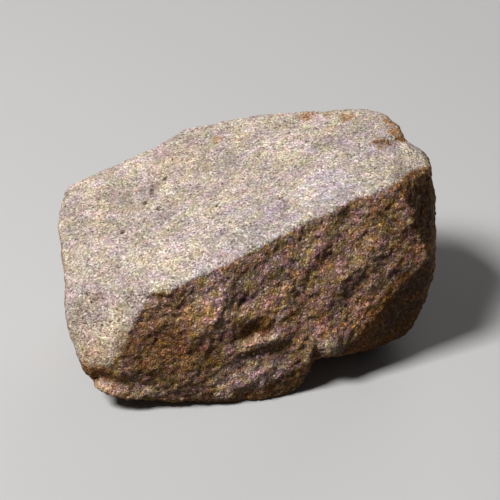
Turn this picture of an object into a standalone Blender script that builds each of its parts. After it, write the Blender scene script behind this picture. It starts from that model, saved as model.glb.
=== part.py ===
"""Rough lazulite: one loose block of granular lazulite rock, broken out by hand.

The stone is one solid. It is set out as the hull of its fracture corners, broken
further by a few cuts, blunted, roughened face by face and stood on its flat base.
"""

import math

import bmesh
import bpy
from mathutils import Euler, Matrix, Vector, noise

MM = 0.001

OBJECT_NAME = "rough_lazulite"
STONE_NAME = "lazulite_stone"

# Driving dimensions. X runs along the block, Y to its back and Z up, and corners are in mm.
STONE_LENGTH = 119.2

# The sharp edge between the top face and the front face, from left to right.
RIDGE = [
    (-29.5, -30.9, 43.1), (-24.0, -31.6, 44.0), (-19.2, -27.2, 46.4), (-7.4, -21.4, 50.2),
    (0.0, -18.3, 53.1), (7.4, -15.8, 55.0), (15.0, -13.2, 57.2), (28.3, -9.2, 61.0),
    (37.3, -6.2, 63.4), (43.0, -4.8, 64.3), (45.8, 0.2, 63.4),
]
# The rim of the top face, from its left front corner round the back to the right.
TOP_RIM = [
    (-55.3, -20.5, 37.4), (-56.6, -8.0, 38.2), (-60.0, 10.5, 39.2), (-59.8, 20.5, 40.4),
    (-58.0, 28.0, 41.4), (-45.5, 35.2, 45.2), (-30.0, 40.0, 49.3), (-21.0, 47.0, 52.4),
    (-3.4, 46.0, 56.6), (16.0, 43.6, 61.0), (35.0, 39.0, 65.0), (41.5, 34.5, 66.0),
    (44.5, 30.0, 65.4), (47.0, 21.5, 64.6),
]
# The facet that takes off the left front corner, below the top face.
LEFT_FACET = [
    (-55.8, -25.0, 29.0), (-39.0, -34.8, 26.0), (-40.5, -36.1, 20.0), (-50.4, -33.2, 16.0),
]
# The foot of the front face: a narrow left foot, a belly in the middle and a lump on the right.
FRONT_FOOT = [
    (-50.3, -31.5, 13.0), (-48.4, -32.0, 11.5), (-46.0, -33.1, 10.0), (-43.8, -34.1, 8.5),
    (-41.1, -34.2, 7.0), (-36.6, -34.3, 5.5), (-28.2, -33.0, 4.0), (-15.4, -31.7, 2.5),
    (-9.2, -32.3, 5.0), (-4.6, -31.7, 7.5), (-3.1, -30.6, 0.4), (2.4, -31.2, 9.5),
    (9.2, -29.2, 10.6), (6.2, -29.2, 0.4), (14.5, -25.6, 11.2), (13.1, -26.3, 0.4),
    (16.9, -19.9, 0.4), (22.2, -11.7, 1.0), (23.1, -23.9, 11.5), (28.4, -22.7, 11.9),
    (31.1, -21.7, 14.9), (34.4, -17.9, 23.9),
]
# The narrow end face on the right, and the facet below it that leans in to the base.
RIGHT_END = [
    (46.8, -5.4, 59.2), (49.0, -6.6, 53.4), (53.4, -7.2, 43.2), (55.5, -7.9, 38.4),
    (48.4, -10.1, 36.2), (56.0, 15.0, 57.5), (53.4, 11.5, 60.0), (58.0, 14.6, 46.0),
    (59.7, 11.3, 33.0), (58.9, 9.1, 22.0), (56.6, 6.5, 14.0), (52.7, 1.1, 8.0),
    (49.0, -3.4, 5.0), (42.3, -7.4, 4.5), (35.7, -11.1, 5.0),
]
# The back and the left side, down to the base.
BACK = [
    (55.0, 24.0, 56.0), (56.5, 27.0, 40.0), (54.0, 31.0, 16.0), (44.0, 42.0, 46.0),
    (38.0, 44.5, 14.0), (8.0, 51.0, 30.0), (-6.0, 50.0, 10.0), (-26.0, 49.0, 34.0),
    (-38.0, 43.0, 14.0), (-55.0, 33.0, 26.0), (-58.0, 16.0, 24.0), (-55.0, -10.0, 20.0),
    (-52.0, -20.0, 9.0), (-50.0, 16.0, 5.0),
]
# The flat that it rests on.
BASE = [
    (-38.0, -24.0, 0.0), (-8.0, -28.5, 0.0), (8.0, -25.5, 0.0), (22.0, -8.0, 0.0),
    (40.0, 6.0, 0.0), (38.0, 28.0, 0.0), (6.0, 42.0, 0.0), (-28.0, 34.0, 0.0), (-46.0, 8.0, 0.0),
]

# Slabs broken off flat. The shelf is the low step at the right end of the top face, and the
# break under the lump leaves the lump overhanging, to the right of the belly.
SLAB_BREAKS = {
    "shelf": [
        (36.0, -20.0, 66.4), (75.0, -20.0, 50.8), (75.0, 37.5, 50.8), (39.5, 18.0, 65.0),
        (36.0, -20.0, 96.0), (75.0, -20.0, 96.0), (75.0, 36.0, 96.0), (39.5, 16.5, 96.0),
    ],
    "under_lump": [
        (22.9, -37.7, 21.1), (18.3, -1.7, -2.3), (37.6, -37.7, 22.7), (37.6, -1.7, -0.6),
        (9.9, -44.9, -2.3), (8.9, -6.9, -19.2), (37.6, -42.7, -19.4), (37.6, -6.7, -19.4),
    ],
    "back_right": [
        (47.2, 21.0, 61.8), (80.0, 21.0, 48.6), (80.0, 75.0, 28.0), (45.0, 75.0, 42.0),
        (46.4, 21.0, 96.0), (80.0, 21.0, 96.0), (80.0, 75.0, 96.0), (43.0, 75.0, 96.0),
    ],
    "back_left": [
        (-64.0, 17.4, 78.0), (-31.0, 31.2, 78.0), (-21.8, 39.4, 78.0), (-24.0, 70.0, 78.0),
        (-64.0, 70.0, 78.0), (-64.0, 33.8, 22.0), (-31.0, 47.3, 22.0), (-20.2, 54.8, 22.0),
        (-24.0, 70.0, 22.0), (-64.0, 70.0, 22.0),
    ],
    "back_step": [
        (-2.0, 47.0, 34.0), (62.0, 34.0, 28.0), (62.0, 80.0, 42.0), (-4.0, 80.0, 46.0),
        (-6.0, 44.5, 12.0), (62.0, 29.0, 8.0), (62.0, 80.0, 8.0), (-8.0, 80.0, 10.0),
    ],
}

# Shell-shaped breaks: centre, half lengths along X, Y and Z, and turns about X, Y and Z.
SHELL_BREAKS = {
    "right_recess": ((56.6, -18.6, 18.2), (25.0, 9.5, 20.0), (-14, 18, 18)),
    "foot_notch": ((20.6, -24.5, 12.6), (1.3, 5.0, 4.2), (0, 24, 20)),
    "left_flake": ((-65.0, 2.0, 20.0), (10.0, 17.0, 9.0), (12, 0, 6)),
    "back_corner": ((-53.0, 47.0, 14.0), (17.0, 13.0, 14.0), (0, 0, 40)),
    "back_flake": ((-12.0, 60.0, 24.0), (20.0, 14.0, 15.0), (0, 20, -8)),
}

# How far the blunting goes: the even mesh's cell, and rounds of smoothing on it.
MESH_CELL = 1.1
BLUNTING_ROUNDS = 2

# Marks on the front, placed by X and Z: X, Z, turn, half length, half width and height.
FRONT_MARKS = {
    "scoop": (0.2, 25.4, 16, 5.4, 2.6, -1.5),
    "lip": (2.9, 21.6, 6, 8.2, 1.4, 0.7),
    "groove": (4.4, 18.9, 10, 6.4, 1.4, -0.8),
    "crease": (-11.1, 17.5, 72, 7.0, 2.4, -0.6),
    "upper_bulge": (-11.0, 37.0, 44, 8.0, 5.5, 0.7),
    "low_hollow": (-22.0, 27.5, 44, 7.0, 4.5, -0.5),
    "left_rib": (-13.0, 30.6, 50, 8.0, 2.6, 0.4),
    "pit": (-1.2, 35.3, 50, 2.4, 1.5, -0.6),
    "mid_hollow": (15.3, 36.1, 56, 7.0, 3.0, -0.6),
    "high_bulge": (10.7, 46.0, 44, 5.0, 3.6, 0.8),
    "high_rib": (21.1, 49.1, 50, 7.0, 2.6, 0.7),
    "bump": (19.9, 28.6, 38, 3.4, 2.8, 0.8),
    "rib_hollow": (24.2, 43.4, 44, 6.0, 2.2, -0.5),
    "right_rib": (28.9, 37.7, 44, 8.0, 2.8, 0.5),
    "right_pit": (35.4, 36.6, 40, 2.4, 1.8, -0.5),
    "ridge_hollow": (30.1, 56.6, 36, 5.0, 3.0, -0.7),
    "end_rib": (43.3, 47.0, 50, 8.0, 2.6, 0.6),
    "lump": (23.4, 17.6, 40, 5.0, 4.2, 1.3),
    "facet_step": (-44.0, 29.4, 8, 8.0, 1.8, -0.6),
    "toe_hollow": (-44.5, 13.0, -6, 9.0, 2.9, -1.7),
    "toe": (-38.5, 7.4, -10, 7.5, 2.2, 1.3),
}

# The broken surface everywhere: height and spacing of its waves, its lumps and its grit.
WAVES = (1.0, 26.0)
LUMPS = (0.6, 9.0)
GRIT = (0.3, 4.2)
TOP_ROUGHNESS = 0.45
# Long low ribs that climb to the right across the front.
RIB_HEIGHT = 0.3
RIB_LENGTH = 15.0
RIB_SPACING = 6.0
RIB_TURN = 44

# The base is pressed in by this much, so that it comes out as one flat.
BASE_PRESS = 0.6
TRIANGLES = 9200

STONE_COLOUR = (0.42, 0.34, 0.29, 1.0)
STONE_ROUGHNESS = 0.85


def clear_objects():
    """Remove every object that the file already holds."""
    for existing in list(bpy.data.objects):
        bpy.data.objects.remove(existing, do_unlink=True)


def new_collection(name):
    """A collection linked to the scene."""
    collection = bpy.data.collections.new(name)
    bpy.context.scene.collection.children.link(collection)
    return collection


def add_object(name, shape, collection):
    """Turn a bmesh into an object in a collection."""
    mesh = bpy.data.meshes.new(name)
    shape.to_mesh(mesh)
    shape.free()
    added = bpy.data.objects.new(name, mesh)
    collection.objects.link(added)
    return added


def add_hull(name, corners, collection):
    """The smallest convex solid round a list of corners in mm."""
    shape = bmesh.new()
    for corner in corners:
        shape.verts.new(Vector(corner) * MM)
    hull = bmesh.ops.convex_hull(shape, input=shape.verts)
    inside = dict.fromkeys(hull["geom_interior"] + hull["geom_unused"])
    spare = [item for item in inside if isinstance(item, bmesh.types.BMVert)]
    bmesh.ops.delete(shape, geom=spare, context="VERTS")
    bmesh.ops.recalc_face_normals(shape, faces=shape.faces)
    return add_object(name, shape, collection)


def add_shell(name, centre, half_lengths, turns, collection):
    """A stretched and turned ball, in mm and degrees, whose cut leaves a shell-shaped hollow."""
    shape = bmesh.new()
    bmesh.ops.create_icosphere(shape, subdivisions=3, radius=1.0)
    place = Matrix.LocRotScale(
        Vector(centre) * MM,
        Euler([math.radians(angle) for angle in turns]),
        Vector(half_lengths) * MM,
    )
    bmesh.ops.transform(shape, matrix=place, verts=shape.verts)
    return add_object(name, shape, collection)


def cut(stone, cutter):
    """Break the cutter's shape off the stone."""
    cutter.display_type = "WIRE"
    cutter.hide_render = True
    boolean = stone.modifiers.new(cutter.name, "BOOLEAN")
    boolean.operation = "DIFFERENCE"
    boolean.solver = "EXACT"
    boolean.object = cutter


def bake_modifiers(stone):
    """Replace the stone's mesh by what its modifiers make of it."""
    depsgraph = bpy.context.evaluated_depsgraph_get()
    baked = bpy.data.meshes.new_from_object(stone.evaluated_get(depsgraph))
    stone.modifiers.clear()
    stone.data = baked


def blunt_edges(stone):
    """Even out the mesh and wear its sharpest edges down a little."""
    remesh = stone.modifiers.new("even_mesh", "REMESH")
    remesh.mode = "VOXEL"
    remesh.voxel_size = MESH_CELL * MM
    smooth = stone.modifiers.new("blunt", "SMOOTH")
    smooth.factor = 0.5
    smooth.iterations = BLUNTING_ROUNDS


def smooth_step(value, low, high):
    """0 below low, 1 above high and an even rise between them."""
    share = min(max((value - low) / (high - low), 0.0), 1.0)
    return share * share * (3 - 2 * share)


def turned(right, above, degrees):
    """A place in a plane, measured along and across a direction."""
    angle = math.radians(degrees)
    along = right * math.cos(angle) + above * math.sin(angle)
    across = above * math.cos(angle) - right * math.sin(angle)
    return along, across


def mark_height(place):
    """The height that the marks add to the front at a place."""
    height = 0.0
    for x, z, turn, half_length, half_width, rise in FRONT_MARKS.values():
        along, across = turned(place.x - x, place.z - z, turn)
        height += rise * math.exp(-(along / half_length) ** 2 - (across / half_width) ** 2)
    return height


def rib_height(place):
    """The height that the ribs add to the front at a place."""
    along, across = turned(place.x, place.z, RIB_TURN)
    return RIB_HEIGHT * noise.noise(Vector((along / RIB_LENGTH, across / RIB_SPACING, 0.0)))


def bumps(place, size, offset):
    """One size of bump, in height and spacing, at a place."""
    height, spacing = size
    return height * noise.noise(place / spacing + Vector((offset, 0.0, 0.0)))


def relief(place, normal):
    """The height of the broken surface above its face, in mm, at a place in mm."""
    up = smooth_step(normal.z, 0.45, 0.85)
    front = smooth_step(-normal.y, 0.35, 0.75) * (1 - up)
    roughness = 1 - (1 - TOP_ROUGHNESS) * up
    height = roughness * (bumps(place, WAVES, 0) + bumps(place, LUMPS, 20) + bumps(place, GRIT, 40))
    return height + front * (mark_height(place) + rib_height(place))


def roughen(mesh):
    """Move each point along its normal by the relief there."""
    heights = [relief(vertex.co / MM, vertex.normal) * MM for vertex in mesh.vertices]
    places = [vertex.co + vertex.normal * height for vertex, height in zip(mesh.vertices, heights)]
    for vertex, place in zip(mesh.vertices, places):
        vertex.co = place
    mesh.update()


def stand_on_base(mesh):
    """Press the underside flat at Z = 0, scale to length and centre over the origin."""
    for vertex in mesh.vertices:
        vertex.co.z = max(vertex.co.z - BASE_PRESS * MM, 0.0)
    low = Vector([min(vertex.co[axis] for vertex in mesh.vertices) for axis in range(3)])
    high = Vector([max(vertex.co[axis] for vertex in mesh.vertices) for axis in range(3)])
    middle = Vector(((low.x + high.x) / 2, (low.y + high.y) / 2, 0.0))
    scale = STONE_LENGTH * MM / (high.x - low.x)
    for vertex in mesh.vertices:
        vertex.co = (vertex.co - middle) * scale
    mesh.update()


def thin_out(stone):
    """Keep the triangles where the shape turns and drop them where it is flat."""
    decimate = stone.modifiers.new("thin_out", "DECIMATE")
    decimate.ratio = TRIANGLES / sum(len(face.vertices) - 2 for face in stone.data.polygons)
    decimate.use_collapse_triangulate = True


def stone_material():
    """Pale pinkish-grey granular rock, dull all over."""
    material = bpy.data.materials.new("granular_rock")
    material.use_nodes = True
    shader = material.node_tree.nodes["Principled BSDF"]
    shader.inputs["Base Color"].default_value = STONE_COLOUR
    shader.inputs["Roughness"].default_value = STONE_ROUGHNESS
    shader.inputs["Metallic"].default_value = 0.0
    return material


def build_stone():
    """The block, its breaks, its relief and its flat base."""
    parts = new_collection(OBJECT_NAME)
    cutters = new_collection("cutters")
    corners = RIDGE + TOP_RIM + LEFT_FACET + FRONT_FOOT + RIGHT_END + BACK + BASE
    stone = add_hull(STONE_NAME, corners, parts)
    for name, slab in SLAB_BREAKS.items():
        cut(stone, add_hull(name, slab, cutters))
    for name, (centre, half_lengths, turns) in SHELL_BREAKS.items():
        cut(stone, add_shell(name, centre, half_lengths, turns, cutters))
    blunt_edges(stone)
    bake_modifiers(stone)
    roughen(stone.data)
    stand_on_base(stone.data)
    thin_out(stone)
    stone.data.materials.clear()
    stone.data.materials.append(stone_material())


clear_objects()
build_stone()
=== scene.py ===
"""A rough block of granular lazulite rock, on a plain pale floor in soft studio light."""

import math

import bpy
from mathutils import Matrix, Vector, noise


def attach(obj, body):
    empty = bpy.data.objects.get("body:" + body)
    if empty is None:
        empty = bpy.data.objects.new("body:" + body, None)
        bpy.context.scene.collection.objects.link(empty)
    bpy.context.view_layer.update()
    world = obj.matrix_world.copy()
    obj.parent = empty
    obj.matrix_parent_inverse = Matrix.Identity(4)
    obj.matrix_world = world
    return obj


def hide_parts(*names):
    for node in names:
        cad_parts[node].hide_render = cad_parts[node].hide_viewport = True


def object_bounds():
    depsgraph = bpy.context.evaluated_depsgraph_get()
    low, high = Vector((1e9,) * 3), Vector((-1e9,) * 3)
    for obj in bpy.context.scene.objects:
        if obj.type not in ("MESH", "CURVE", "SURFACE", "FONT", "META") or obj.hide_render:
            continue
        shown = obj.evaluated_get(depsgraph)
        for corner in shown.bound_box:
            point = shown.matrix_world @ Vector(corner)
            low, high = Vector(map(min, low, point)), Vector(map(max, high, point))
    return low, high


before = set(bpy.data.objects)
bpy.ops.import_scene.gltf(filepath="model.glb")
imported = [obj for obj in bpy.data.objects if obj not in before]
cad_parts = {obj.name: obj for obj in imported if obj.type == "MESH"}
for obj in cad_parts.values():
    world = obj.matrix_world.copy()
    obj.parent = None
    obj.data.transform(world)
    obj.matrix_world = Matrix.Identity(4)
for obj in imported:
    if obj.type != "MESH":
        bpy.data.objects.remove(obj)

cad_low, cad_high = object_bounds()

# ---------------------------------------------------------------------------------------
# The stone. One block of sugary, granular quartz rock with lazulite in it, broken out by
# hand. Its top and its left front facet are old joint faces, bleached pale, and its other
# faces are hackly breaks with brown iron film and rust on them. Painted shade darkens the
# faces that turn away from the light, the hollows and the undercut, and painted highlights
# lighten a few ledges.
# ---------------------------------------------------------------------------------------
MM = 0.001
STONE_NODE = "lazulite_stone"
# The seed from which the drift of the lumps and stains is drawn.
DRIFT_SEED = 1
noise.seed_set(DRIFT_SEED)

# The skin's mesh in mm, how often its cells are evened out, and how far each time.
SKIN_CELL = 0.64
SKIN_ROUNDS = 4
SKIN_EVENING = 0.5

# Relief of the breaks and of the joint faces: height and spacing in mm of each size of bump.
BREAK_LUMPS = (0.50, 5.0)
BREAK_KNOBS = (0.45, 2.6)
BREAK_GRIT = (0.40, 1.35)
JOINT_WAVES = (0.45, 15.0)
JOINT_DIMPLES = (0.22, 4.4)
JOINT_GRIT = (0.16, 1.45)
# How far the breaks' lumps are pulled out of line, over what distance, and their flat tops.
LUMP_DRIFT = (0.8, 3.5)
LUMP_TOP = 0.6
# The relief dies away over this height above the base.
FOOT_FADE = 1.2
# Long low ribs that climb to the right across the front: height, length, spacing and turn.
RIBS = (0.35, 12.0, 3.6, 42.0)

# Marks on the front, by X and Z: X, Z, turn, half length, half width and height in mm.
FRONT_MARKS = {
    "lip": (3.6, 22.0, 8, 8.0, 0.8, 0.35),
    "groove": (5.0, 19.4, 12, 6.6, 1.0, -0.3),
    "under_ridge": (-26.5, 40.6, 4, 4.6, 1.6, -0.7),
    "pit": (-1.5, 35.3, 70, 1.8, 1.1, -0.8),
    "nick": (20.7, 14.6, 84, 3.0, 0.7, -1.0),
    "low_crease": (-12.5, 18.0, 66, 5.0, 1.3, -0.4),
}
# Marks on the top face, by X and Y: X, Y, turn, half length, half width and height in mm.
TOP_MARKS = {
    "pit_by_flake": (-26.4, 14.5, 0, 0.9, 0.8, -0.9),
    "crack": (-30.0, 10.0, 88, 4.4, 0.6, -0.5),
    "pit_left": (-31.9, 3.7, 60, 1.1, 0.7, -0.7),
    "pit_right": (-28.0, -0.5, 0, 0.8, 0.7, -0.6),
    "pit_front": (-38.4, -8.4, 0, 0.9, 0.7, -0.7),
    "flake": (-25.6, 8.4, 20, 4.0, 3.6, 0.35),
}
# Rounded swells and hollows anywhere on the stone: centre, reach and height in mm.
SWELLS = [
    ((49.5, 13.0, 62.0), 4.5, 1.4), ((36.0, -21.3, 39.0), 5.0, 0.5), ((36.5, -22.0, 33.5), 3.0, 0.4),
    ((25.0, -30.2, 16.0), 4.6, 0.8), ((-8.8, -37.7, 32.7), 3.0, 0.5),
    ((-45.0, -40.3, 9.0), 3.8, 1.5), ((-42.4, -41.6, 7.2), 3.5, 0.7), ((-47.6, -39.6, 13.6), 3.2, 0.9),
    ((-45.5, -39.8, 11.0), 1.7, -1.1),
]


def smooth_step(value, low, high):
    """0 below low, 1 above high and an even rise between them."""
    share = min(max((value - low) / (high - low), 0.0), 1.0)
    return share * share * (3 - 2 * share)


def turned(right, above, degrees):
    """A place in a plane, measured along and across a direction."""
    angle = math.radians(degrees)
    along = right * math.cos(angle) + above * math.sin(angle)
    across = above * math.cos(angle) - right * math.sin(angle)
    return along, across


def marks_height(marks, right, above):
    """The height that a set of marks adds at a place on its face, each with a crisp rim."""
    height = 0.0
    for x, y, turn, half_length, half_width, rise in marks.values():
        along, across = turned(right - x, above - y, turn)
        inside = 1 - (along / half_length) ** 2 - (across / half_width) ** 2
        height += rise * max(inside, 0.0)
    return height


def bumps(place, size, offset):
    """One size of bump at a place, its height and spacing in mm."""
    height, spacing = size
    return height * noise.noise(place / spacing + Vector((offset, 0.0, 0.0)))


def hackle(place, size, offset):
    """Sharp-edged lumps of one size, as granular rock breaks, high in the middle of each."""
    height, spacing = size
    near, second = noise.voronoi(place / spacing + Vector((offset, 0.0, 0.0)))[0][:2]
    return height * (min(second - near, LUMP_TOP) - LUMP_TOP / 2)


def ribs(place, size):
    """The ribs' height at a place on the front."""
    height, length, spacing, turn = size
    along, across = turned(place.x, place.z, turn)
    return height * noise.noise(Vector((along / length, across / spacing, place.y / length)))


def strayed(place, drift):
    """A place moved a little aside, by how far and over what distance in mm."""
    reach, spacing = drift
    return place + noise.noise_vector(place / spacing) * reach


def break_relief(place):
    """The hackly relief of a broken face."""
    aside = strayed(place, LUMP_DRIFT)
    height = hackle(aside, BREAK_LUMPS, 3) + hackle(aside, BREAK_KNOBS, 9)
    return height + bumps(place, BREAK_GRIT, 5) + ribs(place, RIBS)


def swell(place):
    """The height that the rounded swells and hollows add at a place."""
    height = 0.0
    for centre, reach, rise in SWELLS:
        height += rise * smooth_step(1 - (place - Vector(centre)).length / reach, 0.0, 1.0)
    return height


def joint_relief(place):
    """The low relief of a bleached joint face."""
    return bumps(place, JOINT_WAVES, 0) + bumps(place, JOINT_DIMPLES, 7) + bumps(place, JOINT_GRIT, 11)


def fine_skin(source):
    """An even, fine mesh over the stone's solid, with its facets smoothed away."""
    skin = bpy.data.objects.new("stone_skin", source.data.copy())
    bpy.context.scene.collection.objects.link(skin)
    remesh = skin.modifiers.new("even_mesh", "REMESH")
    remesh.mode = "VOXEL"
    remesh.voxel_size = SKIN_CELL * MM
    smooth = skin.modifiers.new("smooth_facets", "SMOOTH")
    smooth.factor = SKIN_EVENING
    smooth.iterations = SKIN_ROUNDS
    depsgraph = bpy.context.evaluated_depsgraph_get()
    skin.data = bpy.data.meshes.new_from_object(skin.evaluated_get(depsgraph))
    skin.modifiers.clear()
    return skin


# The corner between the pale left facet and the front: its X at a height of 0, and its slope,
# and the height of the facet's foot.
FACET_CORNER_X = -49.9
FACET_CORNER_SLOPE = 0.512
FACET_FOOT_Z = 17.5
# How much calmer the facet is than a break; the top face is wholly calm.
FACET_CALM = 0.5
# The pale top face lies wholly above this height, and its right end stops at two lines:
# a place on each, and the level direction across it.
TOP_FROM_Z = 34.0
TOP_ENDS = [((46.0, -7.1), (0.88, -0.48)), ((49.2, -1.2), (0.74, -0.67))]
# How far up a face looks that is wholly off the top face, and wholly part of it.
TOP_LOOKS_UP = (0.50, 0.62)
# The left side round the corner from the facet is bleached to this share.
LEFT_SIDE_SHARE = 0.6
# How far the pale faces' borders wander finely and coarsely: reach and spacing in mm.
FINE_WANDER = (1.2, 2.2)
COARSE_WANDER = (1.6, 5.0)
# How far before and behind a border one face passes into the next, in mm.
SOFT_BORDER = (-0.4, 0.6)


def past_top_end(place):
    """1 beyond the right end of the top face, 0 on it."""
    across = [(place.x - x) * right + (place.y - y) * back for (x, y), (right, back) in TOP_ENDS]
    return smooth_step(min(across), -0.3, 0.7)


def joint_share(place, normal):
    """1 on the bleached top and left facet, part of that on the left side, 0 on the breaks."""
    fine_reach, fine_spacing = FINE_WANDER
    coarse_reach, coarse_spacing = COARSE_WANDER
    wander = noise.noise(place / fine_spacing)
    top = smooth_step(normal.z + 0.05 * wander, *TOP_LOOKS_UP)
    top *= smooth_step(place.z, TOP_FROM_Z - 1, TOP_FROM_Z + 1)
    top *= 1 - past_top_end(place + Vector((0.5, 0.5, 0.0)) * wander)
    corner = FACET_CORNER_X + FACET_CORNER_SLOPE * place.z
    steps = fine_reach * wander + coarse_reach * noise.noise(place / coarse_spacing)
    left = smooth_step(corner - place.x + steps, *SOFT_BORDER)
    above_foot = place.z + fine_reach * wander - FACET_FOOT_Z
    facet = left * smooth_step(above_foot, -0.8, 0.8) * smooth_step(-normal.y, 0.1, 0.3)
    left_side = LEFT_SIDE_SHARE * smooth_step(-normal.x, 0.5, 0.8)
    return max(top, facet, left_side)


# Stained places, in mm, each with its reach and strength: orange rust, and brown iron film,
# which also paints shade into the scoop, the notch and other hollows. Their outlines, and
# those of the painted shade and light, stray by so much, over such a distance.
STAIN_AND_SHADE_DRIFT = (1.1, 2.0)
RUST = [
    ((39.6, 10.0, 64.4), 2.0, 1.0), ((41.6, 9.9, 64.2), 2.3, 1.0), ((43.5, 10.3, 63.5), 2.0, 1.0),
    ((40.4, 7.2, 64.2), 1.5, 1.0), ((36.6, 4.8, 64.2), 1.6, 0.3), ((44.8, 20.5, 64.9), 3.4, 1.0),
    ((46.0, 15.9, 64.7), 3.8, 1.0), ((44.0, 25.0, 65.2), 3.0, 0.7), ((47.8, 13.8, 62.0), 2.4, 0.6),
    ((19.0, 31.8, 60.5), 3.6, 0.9), ((31.4, 27.2, 62.9), 3.0, 0.9), ((26.0, 30.5, 62.5), 3.0, 0.4),
    ((-9.9, 28.9, 53.9), 2.8, 0.7), ((-48.0, -41.0, 14.6), 4.2, 0.8), ((-42.5, -42.0, 14.6), 4.4, 0.9),
    ((-37.5, -41.0, 13.5), 3.2, 0.5), ((-41.0, -41.5, 7.5), 4.0, 0.7), ((-36.0, -41.5, 6.5), 3.0, 0.6),
    ((-1.0, -37.5, 2.0), 6.0, 0.7), ((6.0, -36.6, 2.5), 4.0, 0.4), ((13.3, -29.7, 28.9), 1.4, 1.0),
    ((-7.3, -35.2, 30.1), 1.1, 0.7), ((9.6, -25.8, 49.6), 1.8, 0.6), ((-22.0, -36.5, 36.5), 1.6, 0.5),
    ((54.8, -9.0, 21.5), 2.4, 0.9), ((51.8, -14.0, 22.9), 2.4, 1.0), ((48.5, -16.2, 23.7), 2.2, 0.8),
    ((44.0, -19.6, 24.2), 2.0, 0.4),
]
# Iron film, and painted shade in the scoop, the notch and other hollows.
FILM_AND_PAINTED_SHADE_SPOTS = [
    ((-24.0, -41.0, 21.0), 14.0, 0.75), ((-34.0, -40.0, 24.0), 8.0, 0.7), ((-30.0, -38.0, 33.0), 5.0, 0.5),
    ((-19.0, -38.0, 36.5), 5.0, 0.4), ((-0.5, -34.0, 26.2), 4.8, 1.0), ((4.5, -33.2, 26.6), 4.2, 1.0),
    ((-5.0, -35.6, 23.6), 3.0, 0.7), ((4.6, -35.0, 19.0), 2.6, 0.5), ((-11.0, -37.0, 17.0), 6.0, 0.8),
    ((20.6, -31.2, 14.4), 1.6, 0.9), ((35.4, -22.0, 36.2), 2.2, 0.5), ((43.0, -17.5, 53.0), 6.0, 0.3),
    ((-25.4, -38.6, 41.2), 2.2, 0.9), ((-46.5, -39.3, 12.6), 3.4, 1.0), ((-42.5, -40.5, 13.2), 3.2, 0.9),
    ((-39.5, -41.8, 13.4), 3.0, 0.7),
]
# Places on the breaks that are worn pale, and painted highlights on the lip and on the left
# foot's ledge, in mm, each with its reach and strength.
PALE_AND_PAINTED_HIGHLIGHTS = [
    ((25.0, -30.2, 15.6), 5.4, 0.40), ((-2.5, -36.0, 21.0), 2.8, 0.30), ((2.5, -35.4, 21.8), 3.0, 0.30),
    ((7.5, -34.4, 22.8), 2.8, 0.30), ((-6.0, -38.5, 8.0), 6.0, 0.20), ((2.0, -37.0, 9.0), 6.5, 0.22),
    ((9.5, -35.0, 11.0), 4.5, 0.15), ((-41.5, -41.5, 8.5), 4.5, 0.35), ((-32.0, -42.0, 6.8), 5.0, 0.25),
    ((18.0, -32.0, 13.5), 2.6, 0.25),
]
# Dark pits and the points of a thin crack on the top face, in mm, with reach and strength.
PITS = [
    ((-26.1, 14.5, 48.4), 1.1, 1.0), ((-31.9, 4.2, 46.1), 1.0, 0.9), ((-27.8, -0.1, 46.8), 1.0, 0.9),
    ((-38.3, -8.5, 43.4), 1.0, 1.0), ((-30.0, 12.2, 47.1), 0.8, 0.6), ((-30.1, 10.4, 47.0), 0.9, 0.8),
    ((-30.0, 8.6, 46.9), 0.8, 0.7), ((-29.8, 6.8, 46.8), 0.8, 0.6), ((13.0, 24.2, 59.1), 0.9, 0.8),
    ((18.5, 18.1, 59.8), 0.9, 0.8), ((39.7, 10.0, 64.4), 1.4, 0.75), ((43.3, 10.4, 63.6), 1.3, 0.6),
    ((41.5, 10.4, 64.2), 1.0, 0.6), ((40.3, 7.3, 64.2), 0.9, 0.6),
]
# Lilac and tan places, in mm, each with its reach and strength.
LILAC = [
    ((-10.0, -33.0, 40.0), 12.0, 0.9), ((0.0, -38.0, 11.0), 9.0, 1.0), ((9.0, -36.0, 9.5), 8.0, 0.9),
    ((24.0, -20.0, 47.0), 12.0, 0.4), ((0.5, -32.0, 41.0), 7.0, 1.0), ((9.0, -26.3, 51.1), 5.0, 1.0),
    ((-4.6, -34.7, 37.1), 5.0, 1.0), ((16.0, -30.0, 22.0), 8.0, 0.5), ((11.2, -12.2, 55.9), 3.4, 0.6),
    ((20.9, 14.2, 60.0), 4.0, 0.6), ((-46.0, -36.0, 36.0), 9.0, 0.5), ((4.0, -20.0, 53.0), 18.0, 0.7),
    ((24.0, -10.0, 59.0), 14.0, 0.9), ((34.0, 12.0, 62.0), 14.0, 0.5), ((-20.0, -10.0, 46.0), 9.0, 0.4),
]
TAN = [
    ((-43.8, -33.2, 36.7), 4.0, 0.5), ((-49.5, -36.4, 25.4), 4.5, 0.5), ((-43.9, -39.7, 24.2), 4.0, 0.4),
    ((-22.0, -37.0, 34.0), 9.0, 0.25), ((38.0, -23.0, 24.0), 10.0, 0.85), ((48.0, -14.5, 44.0), 8.0, 0.7),
    ((-46.0, -41.0, 21.0), 7.0, 0.9), ((-45.0, -39.0, 30.0), 14.0, 0.30), ((-44.0, 5.0, 43.0), 14.0, 0.12),
    ((-22.0, 20.0, 50.0), 14.0, 0.25), ((32.0, 20.0, 62.0), 12.0, 0.15), ((19.0, -31.0, 27.0), 9.0, 0.45),
    ((14.0, -29.5, 28.0), 4.0, 0.6), ((0.0, -36.0, 22.0), 5.0, 0.5), ((22.2, -24.3, 43.5), 5.5, 0.3),
    ((27.5, -21.5, 46.4), 5.0, 0.4), ((-23.0, -39.8, 26.1), 7.0, 0.6), ((-15.7, -39.4, 21.2), 6.0, 0.6),
]
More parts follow.
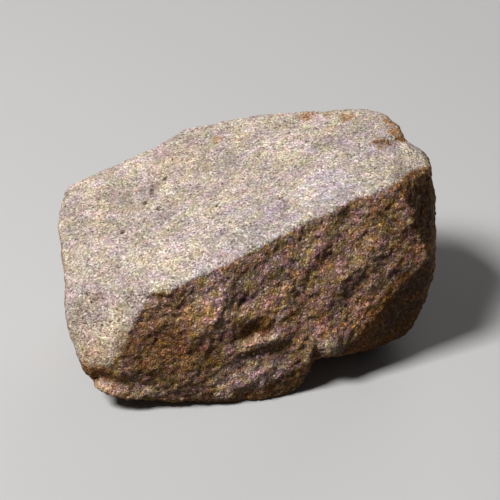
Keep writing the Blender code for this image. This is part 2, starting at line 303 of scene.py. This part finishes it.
# Lighter and darker places, in mm, each with its reach and how much lighter it is. Some are
# the stone's own tone; others are painted shade in the undercut, the right end and the scoop,
# and painted highlights on the lip, the left foot's rim and the shelf by the right end.
TONES_AND_PAINTED_LIGHT = [
    ((-46.0, -38.0, 32.0), 17.0, 0.12), ((-43.8, -33.2, 36.7), 3.6, -0.16),
    ((-49.5, -36.4, 25.4), 3.6, -0.14), ((-40.8, -38.1, 30.4), 3.4, 0.10),
    ((-43.9, -39.7, 24.2), 3.2, -0.12), ((-51.0, -32.0, 31.5), 3.0, -0.12),
    ((-45.0, -42.0, 21.0), 7.0, -0.12), ((25.0, -30.2, 16.0), 6.0, 0.15), ((-6.0, -38.5, 8.0), 6.0, 0.40),
    ((1.0, -37.0, 10.0), 6.0, 0.60), ((8.0, -35.0, 12.0), 5.0, 0.30), ((-41.5, -41.5, 8.5), 4.5, 0.35),
    ((-32.0, -42.0, 6.8), 6.0, 0.30), ((-22.0, -41.0, 4.8), 6.0, 0.35), ((52.0, 9.0, 60.5), 8.0, 0.28),
    ((55.0, 2.0, 58.5), 5.0, 0.30), ((-25.6, 8.6, 48.0), 3.6, 0.16), ((-39.4, 8.8, 44.6), 3.6, -0.16),
    ((-44.1, 12.2, 43.8), 3.6, -0.14), ((-40.9, -4.0, 43.0), 5.0, -0.12), ((-46.0, 4.0, 42.5), 17.0, -0.14),
    ((-32.0, 9.0, 46.4), 2.6, -0.16), ((41.5, 9.6, 64.2), 3.0, -0.20), ((11.2, -12.2, 55.9), 3.4, -0.18),
    ((20.9, 14.2, 60.0), 3.6, -0.14), ((50.0, -15.0, 22.0), 13.0, -0.50), ((55.0, -8.0, 50.0), 12.0, -0.40),
    ((0.5, -34.4, 26.0), 4.2, -0.40), ((5.0, -33.0, 26.6), 3.6, -0.40), ((44.0, -17.0, 42.0), 12.0, -0.20),
    ((4.0, -31.0, 33.0), 12.0, 0.16), ((52.0, -14.0, 32.0), 9.0, -0.45), ((42.0, -19.0, 17.0), 9.0, -0.35),
    ((15.7, -9.0, 57.3), 6.0, 0.14), ((-9.6, -27.7, 49.5), 7.0, 0.08), ((-47.6, 3.0, 42.3), 3.6, 0.26),
    ((-2.5, -36.0, 21.0), 2.6, 0.30), ((2.5, -35.4, 21.8), 2.6, 0.45), ((7.5, -34.4, 22.8), 2.6, 0.40),
    ((-43.8, -41.4, 8.2), 3.0, 0.60), ((-46.5, -39.3, 12.8), 3.4, -0.25), ((-42.0, -40.8, 12.8), 3.2, -0.25),
    ((-11.0, -39.0, 37.5), 10.0, 0.55), ((7.0, -31.0, 34.0), 9.0, 0.25), ((36.0, 18.0, 63.0), 16.0, -0.14),
]
# Painted shade on the dark right end, the undercut below it and the underside of the belly:
# where their borders cross the front, as X and Z, and how fast X grows as Z does.
END_BORDER = (46.6, 58.1, -0.451)
UNDERCUT_BORDER = (30.7, 14.8, 0.758)
UNDERCUT_TOP_Z = 35.0
BELLY_BORDER = (15.9, 11.4, 2.0)
BELLY_FROM_X = -3.0
BELLY_TO_X = 20.0
# How much painted shade they get, and how much the other faces that turn away from the light get.
END_PAINTED_SHADE = 0.9
UNDERCUT_PAINTED_SHADE = 0.95
BELLY_PAINTED_SHADE = 0.8
AWAY_PAINTED_SHADE = 0.8


def cover(spots, place):
    """How far a set of spots covers a place, from 0 to 1: stains, tints, painted shade and light."""
    most = 0.0
    for centre, reach, strength in spots:
        near = 1 - (place - Vector(centre)).length_squared / reach ** 2
        most = max(most, strength * smooth_step(near, 0.0, 0.8))
    return most


def tone_and_painted_light(place):
    """How much lighter a place is than the stone around it, by its own tone and by painted shade and light.
    """
    total = 0.0
    for centre, reach, lighter in TONES_AND_PAINTED_LIGHT:
        near = 1 - (place - Vector(centre)).length_squared / reach ** 2
        total += lighter * smooth_step(near, 0.0, 1.0)
    return total


def right_of(border, place):
    """1 on the right of a border that crosses the front, 0 on its left."""
    x, z, slope = border
    return smooth_step(place.x - x - slope * (place.z - z), *SOFT_BORDER)


def painted_shade(place, normal):
    """Painted shade: 1 on the right end, the undercut, under the belly and on faces turned away to the right
    or down.
    """
    high = smooth_step(place.z, UNDERCUT_TOP_Z - 0.6, UNDERCUT_TOP_Z + 0.6)
    end = high * right_of(END_BORDER, place) * smooth_step(0.7 - normal.z, 0.0, 0.2)
    turned_away = max(smooth_step(normal.x, 0.42, 0.6), smooth_step(normal.z, 0.55, 0.7))
    end = max(end, high * past_top_end(place) * turned_away)
    undercut = (1 - high) * right_of(UNDERCUT_BORDER, place)
    belly = right_of(BELLY_BORDER, place) * smooth_step(place.x, BELLY_FROM_X - 2, BELLY_FROM_X + 2)
    belly *= smooth_step(BELLY_TO_X - place.x, *SOFT_BORDER)
    away = max(smooth_step(normal.x, 0.55, 0.8), smooth_step(-normal.z, 0.2, 0.5))
    front = smooth_step(-normal.y, 0.0, 0.3)
    low = max(UNDERCUT_PAINTED_SHADE * undercut * front, BELLY_PAINTED_SHADE * belly * front)
    return max(END_PAINTED_SHADE * end, low, AWAY_PAINTED_SHADE * away)


def sculpt(skin):
    """Give the skin its relief, and note on its points what the finish goes by."""
    notes = {name: [] for name in ("joint_face_and_painted_highlight", "raised", "rust", "film_and_painted_shade", "pit", "lilac", "tan", "tone_and_painted_light")}
    places = []
    for vertex in skin.data.vertices:
        place, normal = vertex.co / MM, vertex.normal
        share = joint_share(place, normal)
        front = smooth_step(-normal.y, 0.3, 0.6) * smooth_step(0.8 - normal.z, 0.0, 0.3)
        up = smooth_step(normal.z, 0.6, 0.9)
        calm = share * (FACET_CALM + (1 - FACET_CALM) * up)
        height = calm * joint_relief(place) + (1 - calm) * break_relief(place)
        height += front * marks_height(FRONT_MARKS, place.x, place.z)
        height += up * marks_height(TOP_MARKS, place.x, place.y) + swell(place)
        height *= smooth_step(place.z, 0.0, FOOT_FADE)
        aside = strayed(place, STAIN_AND_SHADE_DRIFT)
        # The pale joint colour also paints the highlights of the lip and the left foot.
        notes["joint_face_and_painted_highlight"].append(max(share, cover(PALE_AND_PAINTED_HIGHLIGHTS, aside)))
        notes["raised"].append(height)
        notes["rust"].append(cover(RUST, aside))
        # The film note also carries the painted shade of the faces turned away from the light.
        notes["film_and_painted_shade"].append(max(cover(FILM_AND_PAINTED_SHADE_SPOTS, aside), painted_shade(aside, normal)))
        notes["pit"].append(cover(PITS, place))
        notes["lilac"].append(cover(LILAC, aside))
        notes["tan"].append(cover(TAN, aside))
        notes["tone_and_painted_light"].append(tone_and_painted_light(aside))
        places.append((place + normal * height) * MM)
    for vertex, place in zip(skin.data.vertices, places):
        for axis in range(3):
            place[axis] = min(max(place[axis], cad_low[axis]), cad_high[axis])
        vertex.co = place
    for name, values in notes.items():
        skin.data.attributes.new(name, "FLOAT", "POINT").data.foreach_set("value", values)
    skin.data.update()


stone = fine_skin(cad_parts[STONE_NODE])
sculpt(stone)
stone.data.materials.clear()
stone.data.shade_smooth()

# Sizes in mm of the grains, of the cells that hold the specks, of the patches and clouds of
# colour, and of the streaks, which lie along the sharp front edge.
GRAIN = 0.50
FINE_GRAIN = 0.30
SPECK = 1.6
JOINT_PATCH = 5.0
BREAK_PATCH = 2.6
BROAD_CLOUD = 9.0
SMALL_CLOUD = 2.4
FILM_AND_SHADE_CLOUD = 2.2
RUST_CLOUD = 1.4
STREAK_LENGTH = 9.0
STREAK_WIDTH = 1.6
STREAK_TURN = math.radians(18.7)
# How much darker and lighter each of these makes the stone: from and to in its own measure,
# and the shades that those get.
FINE_SHADE = (0.0, 1.0, 0.76, 1.24)
BROAD_SHADE = (0.3, 0.7, 0.82, 1.16)
SMALL_SHADE = (0.3, 0.7, 0.82, 1.18)
STREAK_SHADE = (0.3, 0.7, 0.92, 1.08)
# The relief's height paints shade into its hollows and light onto its bumps.
RELIEF_PAINTED_SHADE = (-0.6, 0.5, 0.72, 1.22)
TONE_SHADE = (-0.65, 1.0, 0.35, 2.0)
# How the clouds break up the film with its painted shade, and the rust, in the same four numbers.
FILM_AND_SHADE_BREAKS = (0.3, 0.6, 0.5, 1.0)
RUST_BREAKS = (0.35, 0.6, 0.3, 1.0)
# Which coarse cells hold a speck, and how near the middle of its cell it lies.
SPECK_RARITY = (0.05, 0.03, 0.0, 1.0)
SPECK_MIDDLE = (0.62, 0.80, 0.0, 1.0)
# Which grains glint, by their random numbers, and the roughness of the dull and the glinting
# ones, and the gloss of them all.
GLINT = (0.86, 0.94, 0.86, 0.45)
GLOSS_LEVEL = 0.35
# The feel of the grains: the fine ones' share in it, its strength, and its depth in mm.
FINE_FEEL = 0.5
FEEL_STRENGTH = 0.9
FEEL_DEPTH = 0.2
# The colours of the two faces' grains, by a random number for each grain, and their tints.
JOINT_GRAINS = [
    (0.00, (0.20, 0.145, 0.11)), (0.10, (0.37, 0.29, 0.24)), (0.25, (0.50, 0.405, 0.35)),
    (0.42, (0.57, 0.47, 0.45)), (0.58, (0.63, 0.52, 0.42)), (0.76, (0.74, 0.61, 0.53)),
    (0.92, (0.97, 0.88, 0.79)),
]
BREAK_GRAINS = [
    (0.00, (0.13, 0.08, 0.05)), (0.12, (0.29, 0.15, 0.10)), (0.28, (0.35, 0.26, 0.14)),
    (0.44, (0.41, 0.25, 0.23)), (0.58, (0.42, 0.32, 0.16)), (0.70, (0.54, 0.35, 0.27)),
    (0.84, (0.56, 0.43, 0.34)), (0.95, (0.92, 0.72, 0.60)),
]
JOINT_TINTS = [(0.32, (1.01, 1.01, 0.82)), (0.50, (1.0, 0.99, 0.96)), (0.68, (0.99, 0.94, 1.06))]
BREAK_TINTS = [(0.32, (1.14, 0.96, 0.45)), (0.50, (1.05, 0.93, 0.82)), (0.66, (1.03, 0.87, 1.16))]
# Where the stone runs from greenish to reddish, and how strong that is on its joint faces.
RED_PATCH = 3.4
RED_TINTS = [(0.33, (0.88, 0.99, 0.83)), (0.50, (1.00, 0.97, 0.95)), (0.67, (1.16, 0.91, 0.97))]
RED_ON_JOINTS = 0.42
LILAC_TINT = (0.91, 0.94, 1.10)
TAN_TINT = (1.11, 0.97, 0.76)
# The brown of the iron film, which also paints the shade on turned-away faces and in hollows.
FILM_AND_SHADE_COLOUR = (0.50, 0.36, 0.09)
RUST_COLOURS = [(0.2, (0.26, 0.09, 0.03)), (0.6, (0.48, 0.22, 0.07)), (0.9, (0.66, 0.38, 0.14))]
PIT_COLOUR = (0.07, 0.04, 0.025)


def add_node(nodes, kind, place, **inputs):
    """A shader node at a place in the editor, with some of its sockets set by name."""
    node = nodes.new(kind)
    node.location = place
    for name, value in inputs.items():
        node.inputs[name.replace("_", " ")].default_value = value
    return node


def ramp_node(nodes, place, stops):
    """A Color Ramp with the stops of a list."""
    ramp = add_node(nodes, "ShaderNodeValToRGB", place)
    elements = ramp.color_ramp.elements
    elements[0].position, elements[0].color = stops[0][0], (*stops[0][1], 1.0)
    elements[1].position, elements[1].color = stops[-1][0], (*stops[-1][1], 1.0)
    for position, colour in stops[1:-1]:
        elements.new(position).color = (*colour, 1.0)
    return ramp


def range_node(nodes, place, low, high, to_low, to_high):
    """A Map Range node from one range to another."""
    node = add_node(nodes, "ShaderNodeMapRange", place)
    for name, value in (("From Min", low), ("From Max", high), ("To Min", to_low), ("To Max", to_high)):
        node.inputs[name].default_value = value
    return node


def mineral_grains_group():
    """Sugary grains of a size in mm: a random value for each, and how near its middle is."""
    group = bpy.data.node_groups.new("mineral_grains", "ShaderNodeTree")
    sockets = group.interface
    sockets.new_socket("Vector", in_out="INPUT", socket_type="NodeSocketVector")
    sockets.new_socket("Size", in_out="INPUT", socket_type="NodeSocketFloat")
    sockets.new_socket("Value", in_out="OUTPUT", socket_type="NodeSocketFloat")
    sockets.new_socket("Height", in_out="OUTPUT", socket_type="NodeSocketFloat")
    nodes, links = group.nodes, group.links
    start = nodes.new("NodeGroupInput")
    end = nodes.new("NodeGroupOutput")
    per_metre = add_node(nodes, "ShaderNodeMath", (0, 0))
    per_metre.operation = "DIVIDE"
    per_metre.inputs[0].default_value = 1 / MM
    cells = add_node(nodes, "ShaderNodeTexVoronoi", (200, 0), Randomness=1.0)
    split = add_node(nodes, "ShaderNodeSeparateColor", (400, 100))
    flip = range_node(nodes, (400, -100), 0.0, 0.8, 1.0, 0.0)
    links.new(start.outputs["Size"], per_metre.inputs[1])
    links.new(start.outputs["Vector"], cells.inputs["Vector"])
    links.new(per_metre.outputs[0], cells.inputs["Scale"])
    links.new(cells.outputs["Color"], split.inputs["Color"])
    links.new(cells.outputs["Distance"], flip.inputs["Value"])
    links.new(split.outputs["Red"], end.inputs["Value"])
    links.new(flip.outputs["Result"], end.inputs["Height"])
    return group


class Finish:
    """A material's node tree, with short ways to add to it."""

    def __init__(self, name):
        self.material = bpy.data.materials.new(name)
        self.material.use_nodes = True
        self.nodes = self.material.node_tree.nodes
        self.links = self.material.node_tree.links
        self.shader = self.nodes["Principled BSDF"]

    def join(self, output, socket):
        self.links.new(output, socket)

    def mix(self, place, blend, first, second, factor):
        """A colour mix, whose second colour and factor are an output or a plain value."""
        node = add_node(self.nodes, "ShaderNodeMix", place)
        node.data_type = "RGBA"
        node.blend_type = blend
        self.join(first, node.inputs["A"])
        for name, value in (("B", second), ("Factor", factor)):
            if isinstance(value, bpy.types.NodeSocket):
                self.join(value, node.inputs[name])
            else:
                node.inputs[name].default_value = value
        return node.outputs["Result"]

    def note(self, place, name):
        """A value noted on the skin's points."""
        node = add_node(self.nodes, "ShaderNodeAttribute", place)
        node.attribute_name = name
        return node.outputs["Fac"]


def stone_finish():
    """Mineral grains in mauve and cream patches, iron film, rust, dark specks, painted shade and light."""
    finish = Finish("granular_rock")
    nodes, join = finish.nodes, finish.join
    where = add_node(nodes, "ShaderNodeTexCoord", (-2200, 0)).outputs["Object"]
    grain_group = mineral_grains_group()

    def grains(place, size):
        node = add_node(nodes, "ShaderNodeGroup", place)
        node.node_tree = grain_group
        node.inputs["Size"].default_value = size
        join(where, node.inputs["Vector"])
        return node.outputs["Value"], node.outputs["Height"]

    def cloud(place, size, detail):
        node = add_node(nodes, "ShaderNodeTexNoise", place, Scale=1 / (size * MM), Detail=detail)
        join(where, node.inputs["Vector"])
        return node.outputs["Fac"]

    value, height = grains((-1900, 300), GRAIN)
    fine_value, fine_height = grains((-1900, 100), FINE_GRAIN)
    speck_value, speck_height = grains((-1900, -100), SPECK)
    # The pale joint faces, and the painted highlights that take their colour.
    pale_face_and_highlight = finish.note((-1900, 600), "joint_face_and_painted_highlight")

    # The two faces' mineral colours, and their patches of cream and mauve.
    faces = []
    for place, stops, tints, patch_size in (
        (300, JOINT_GRAINS, JOINT_TINTS, JOINT_PATCH),
        (0, BREAK_GRAINS, BREAK_TINTS, BREAK_PATCH),
    ):
        patch = cloud((-1900, place - 450), patch_size, 3.0)
        colour = ramp_node(nodes, (-1600, place), stops)
        tint = ramp_node(nodes, (-1600, place - 150), tints)
        join(value, colour.inputs["Fac"])
        join(patch, tint.inputs["Fac"])
        both = colour.outputs["Color"], tint.outputs["Color"]
        faces.append(finish.mix((-1300, place), "MULTIPLY", *both, 1.0))
    colour = finish.mix((-1100, 200), "MIX", faces[1], faces[0], pale_face_and_highlight)
    red = ramp_node(nodes, (-1600, 600), RED_TINTS)
    join(cloud((-1900, 800), RED_PATCH, 3.0), red.inputs["Fac"])
    red_share = range_node(nodes, (-1300, 700), 0.0, 1.0, 1.0, RED_ON_JOINTS)
    join(pale_face_and_highlight, red_share.inputs["Value"])
    colour = finish.mix((-1000, 400), "MULTIPLY", colour, red.outputs["Color"], red_share.outputs["Result"])

    # Finer grains, clouds, streaks, painted shade and light by the relief's height, and the
    # tones with their painted shade and light noted on the skin.
    along = add_node(nodes, "ShaderNodeMapping", (-1900, -600))
    along.vector_type = "TEXTURE"
    along.inputs["Rotation"].default_value = (0.0, 0.0, STREAK_TURN)
    along.inputs["Scale"].default_value = (STREAK_LENGTH * MM, STREAK_WIDTH * MM, STREAK_WIDTH * MM)
    streak = add_node(nodes, "ShaderNodeTexNoise", (-1700, -600), Scale=1.0, Detail=2.0)
    join(where, along.inputs["Vector"])
    join(along.outputs["Vector"], streak.inputs["Vector"])
    shades = (
        (fine_value, FINE_SHADE),
        (cloud((-1700, -800), BROAD_CLOUD, 3.0), BROAD_SHADE),
        (cloud((-1700, -900), SMALL_CLOUD, 2.0), SMALL_SHADE),
        (streak.outputs["Fac"], STREAK_SHADE),
        (finish.note((-1700, -1000), "raised"), RELIEF_PAINTED_SHADE),
        (finish.note((-1700, -1200), "tone_and_painted_light"), TONE_SHADE),
    )
    for step, (source, limits) in enumerate(shades):
        shade = range_node(nodes, (-1500, -500 - 200 * step), *limits)
        join(source, shade.inputs["Value"])
        colour = finish.mix((-900 + 150 * step, 200), "MULTIPLY", colour, shade.outputs["Result"], 1.0)

    # Lilac and tan places, then iron film with painted shade, and rust, these two broken up by clouds.
    for shift, name, tint in ((0, "lilac", LILAC_TINT), (100, "tan", TAN_TINT)):
        amount = finish.note((-300, 500 + 2 * shift), name)
        colour = finish.mix((-150 + shift, 400), "MULTIPLY", colour, (*tint, 1.0), amount)
    film_and_painted_shade = add_node(nodes, "ShaderNodeMath", (-700, -300))
    film_and_painted_shade.operation = "MULTIPLY"
    join(finish.note((-900, -300), "film_and_painted_shade"), film_and_painted_shade.inputs[0])
    film_and_shade_cloud = range_node(nodes, (-900, -400), *FILM_AND_SHADE_BREAKS)
    join(cloud((-1100, -400), FILM_AND_SHADE_CLOUD, 3.0), film_and_shade_cloud.inputs["Value"])
    join(film_and_shade_cloud.outputs["Result"], film_and_painted_shade.inputs[1])
    colour = finish.mix((-200, 200), "MULTIPLY", colour, (*FILM_AND_SHADE_COLOUR, 1.0), film_and_painted_shade.outputs["Value"])
    rust_colour = ramp_node(nodes, (-500, -500), RUST_COLOURS)
    join(value, rust_colour.inputs["Fac"])
    rust = add_node(nodes, "ShaderNodeMath", (-500, -700))
    rust.operation = "MULTIPLY"
    join(finish.note((-900, -700), "rust"), rust.inputs[0])
    rust_cloud = range_node(nodes, (-700, -800), *RUST_BREAKS)
    join(cloud((-1100, -800), RUST_CLOUD, 3.0), rust_cloud.inputs["Value"])
    join(rust_cloud.outputs["Result"], rust.inputs[1])
    colour = finish.mix((0, 200), "MIX", colour, rust_colour.outputs["Color"], rust.outputs["Value"])

    # The dark pits, and a few dark specks in the middle of a few coarse cells.
    rare = range_node(nodes, (-500, -1000), *SPECK_RARITY)
    middle = range_node(nodes, (-500, -1200), *SPECK_MIDDLE)
    speck = add_node(nodes, "ShaderNodeMath", (-300, -1000))
    speck.operation = "MULTIPLY"
    join(speck_value, rare.inputs["Value"])
    join(speck_height, middle.inputs["Value"])
    join(rare.outputs["Result"], speck.inputs[0])
    join(middle.outputs["Result"], speck.inputs[1])
    dark = add_node(nodes, "ShaderNodeMath", (-100, -1000))
    dark.operation = "MAXIMUM"
    join(speck.outputs["Value"], dark.inputs[0])
    join(finish.note((-300, -1200), "pit"), dark.inputs[1])
    colour = finish.mix((200, 200), "MIX", colour, (*PIT_COLOUR, 1.0), dark.outputs["Value"])
    join(colour, finish.shader.inputs["Base Color"])

    # Dull, with a faint glint on a few grains, and a grainy feel.
    glint = range_node(nodes, (0, -200), *GLINT)
    join(value, glint.inputs["Value"])
    join(glint.outputs["Result"], finish.shader.inputs["Roughness"])
    finish.shader.inputs["Specular IOR Level"].default_value = GLOSS_LEVEL
    feel = add_node(nodes, "ShaderNodeMath", (0, -400))
    feel.operation = "MULTIPLY_ADD"
    feel.inputs[1].default_value = FINE_FEEL
    join(fine_height, feel.inputs[0])
    join(height, feel.inputs[2])
    bump = add_node(nodes, "ShaderNodeBump", (200, -400), Strength=FEEL_STRENGTH, Distance=FEEL_DEPTH * MM)
    join(feel.outputs["Value"], bump.inputs["Height"])
    join(bump.outputs["Normal"], finish.shader.inputs["Normal"])
    return finish.material


stone.data.materials.append(stone_finish())
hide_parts(STONE_NODE)
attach(stone, "root")

# ---------------------------------------------------------------------------------------
# The floor. A wide, plain sheet of pale matt card that the stone lies on. It isn't part of
# the stone.
# ---------------------------------------------------------------------------------------
FLOOR_WIDTH = 6.0
FLOOR_ROUGHNESS = 0.9
FLOOR_COLOUR = (0.66, 0.65, 0.64, 1.0)
# What it throws back at the stone is held down to this, so that the undercut stays dark.
FLOOR_BOUNCE = (0.06, 0.055, 0.05, 1.0)

bpy.ops.mesh.primitive_plane_add(size=FLOOR_WIDTH, location=(0, 0, 0))
floor = bpy.context.object
floor.name = "floor"
floor_card = bpy.data.materials.new("pale_card")
floor_card.use_nodes = True
card = floor_card.node_tree.nodes["Principled BSDF"]
card.inputs["Roughness"].default_value = FLOOR_ROUGHNESS
seen = floor_card.node_tree.nodes.new("ShaderNodeLightPath")
shade = floor_card.node_tree.nodes.new("ShaderNodeMix")
shade.data_type = "RGBA"
shade.inputs["A"].default_value = FLOOR_COLOUR
shade.inputs["B"].default_value = FLOOR_BOUNCE
floor_card.node_tree.links.new(seen.outputs["Is Diffuse Ray"], shade.inputs["Factor"])
floor_card.node_tree.links.new(shade.outputs["Result"], card.inputs["Base Color"])
floor.data.materials.append(floor_card)

# ---------------------------------------------------------------------------------------
# The light. One soft box high on the left, a wide dim one low behind, which keeps the back
# of the stone readable, and a dim even sky.
# ---------------------------------------------------------------------------------------
KEY_FROM = Vector((-0.47, -0.26, 0.84))
KEY_DISTANCE = 1.3
KEY_SIZE = 0.32
KEY_POWER = 16.3
FILL_FROM = Vector((0.35, 0.85, 0.40))
FILL_DISTANCE = 1.5
FILL_SIZE = 0.9
FILL_POWER = 4.5
SKY_COLOUR = (0.92, 0.95, 1.0, 1.0)
SKY_STRENGTH = 0.035


def soft_box(name, towards, distance, size, power):
    """A square light at a distance, turned to face the stone."""
    box = bpy.data.lights.new(name, "AREA")
    box.shape = "SQUARE"
    box.size = size
    box.energy = power
    box_object = bpy.data.objects.new(name, box)
    bpy.context.scene.collection.objects.link(box_object)
    box_object.location = towards.normalized() * distance
    box_object.rotation_euler = (-towards).to_track_quat("-Z", "Y").to_euler()


soft_box("key", KEY_FROM, KEY_DISTANCE, KEY_SIZE, KEY_POWER)
soft_box("fill", FILL_FROM, FILL_DISTANCE, FILL_SIZE, FILL_POWER)

sky = bpy.data.worlds.new("sky")
sky.use_nodes = True
sky.node_tree.nodes["Background"].inputs["Color"].default_value = SKY_COLOUR
sky.node_tree.nodes["Background"].inputs["Strength"].default_value = SKY_STRENGTH
bpy.context.scene.world = sky
bpy.context.scene.view_settings.view_transform = "Standard"

# ---------------------------------------------------------------------------------------
# The camera. It looks down on the front of the stone from 35 degrees above the floor, from
# about half a metre away.
# ---------------------------------------------------------------------------------------
CAMERA_TARGET = Vector((0.0007, -0.0075, 0.0361))
CAMERA_DISTANCE = 0.540
CAMERA_HEIGHT_ANGLE = math.radians(35.0)
CAMERA_LENS = 126.0
CAMERA_NEAREST = 0.01

camera = bpy.data.cameras.new("camera")
camera.lens = CAMERA_LENS
camera.clip_start = CAMERA_NEAREST
camera_object = bpy.data.objects.new("camera", camera)
bpy.context.scene.collection.objects.link(camera_object)
looking = Vector((0.0, math.cos(CAMERA_HEIGHT_ANGLE), -math.sin(CAMERA_HEIGHT_ANGLE)))
camera_object.location = CAMERA_TARGET - looking * CAMERA_DISTANCE
camera_object.rotation_euler = looking.to_track_quat("-Z", "Y").to_euler()
bpy.context.scene.camera = camera_object
